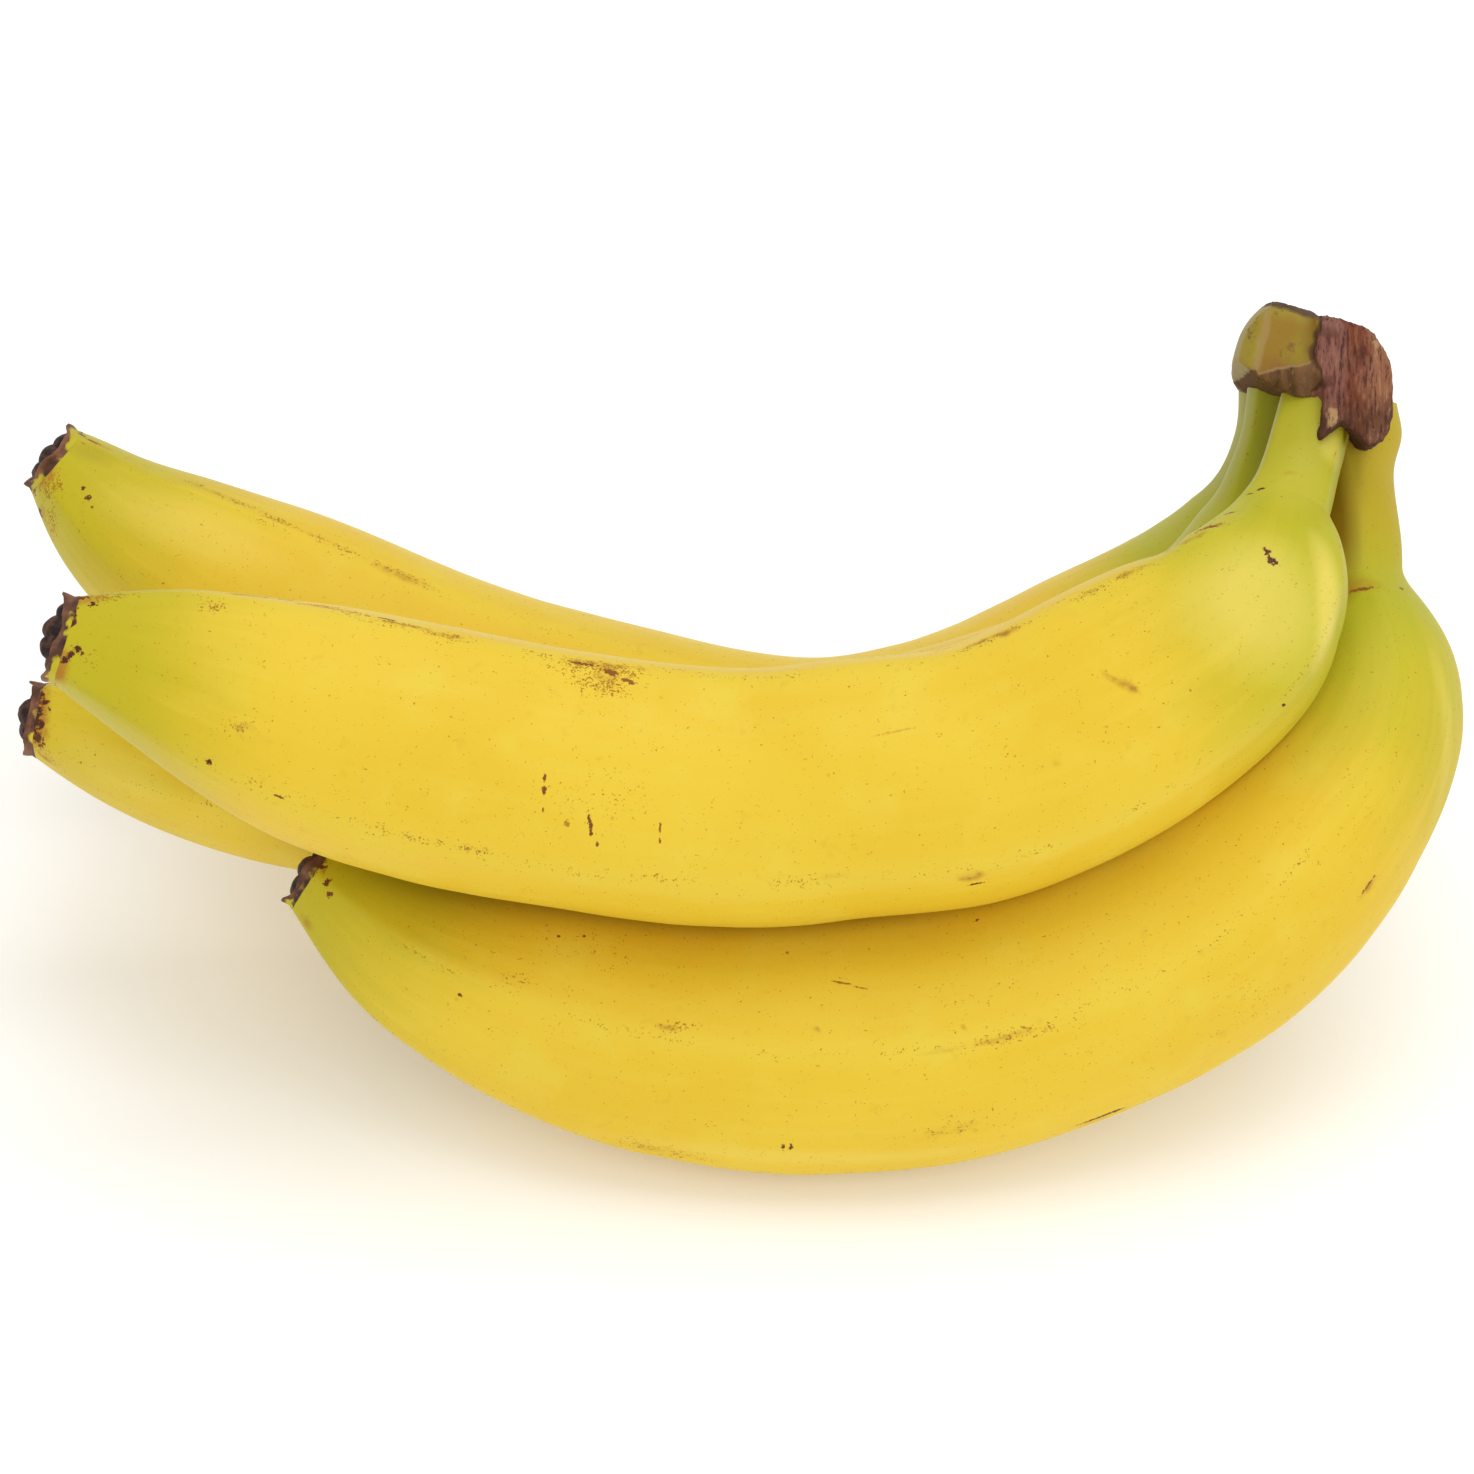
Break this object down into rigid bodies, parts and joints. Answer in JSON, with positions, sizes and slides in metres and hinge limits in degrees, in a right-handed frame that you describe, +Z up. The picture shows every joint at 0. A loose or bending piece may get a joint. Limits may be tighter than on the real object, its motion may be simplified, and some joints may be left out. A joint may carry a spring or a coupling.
{
  "type": "bunch of bananas",
  "caption": "Small bunch of ripe bananas lying on a surface: curved, five-ridged fingers with dry tips, joined at a woody cut crown.",
  "frame": {"origin": "centre of the bounding box's base, on the surface that the bunch lies on", "axes": "+X along the row's length, from the dry tips to the crown; +Y across the row, from the near finger to the far one; +Z up from the surface"},
  "size_m": [0.2192, 0.116, 0.1094],
  "materials": {
    "peel": "smooth ripe peel with a low wax sheen, greener at both ends, with brown scuffs on the ridges",
    "crown": "dull olive skin and brown, fibrous cut faces",
    "dry_end": "dry, rough, dark brown"
  },
  "bodies": {
    "root": {"crown": "crown", "finger_near": "peel", "dry_end_near": "dry_end", "finger_below": "peel", "dry_end_below": "dry_end", "finger_middle": "peel", "dry_end_middle": "dry_end", "finger_far": "peel", "dry_end_far": "dry_end"}
  },
  "joints": []
}
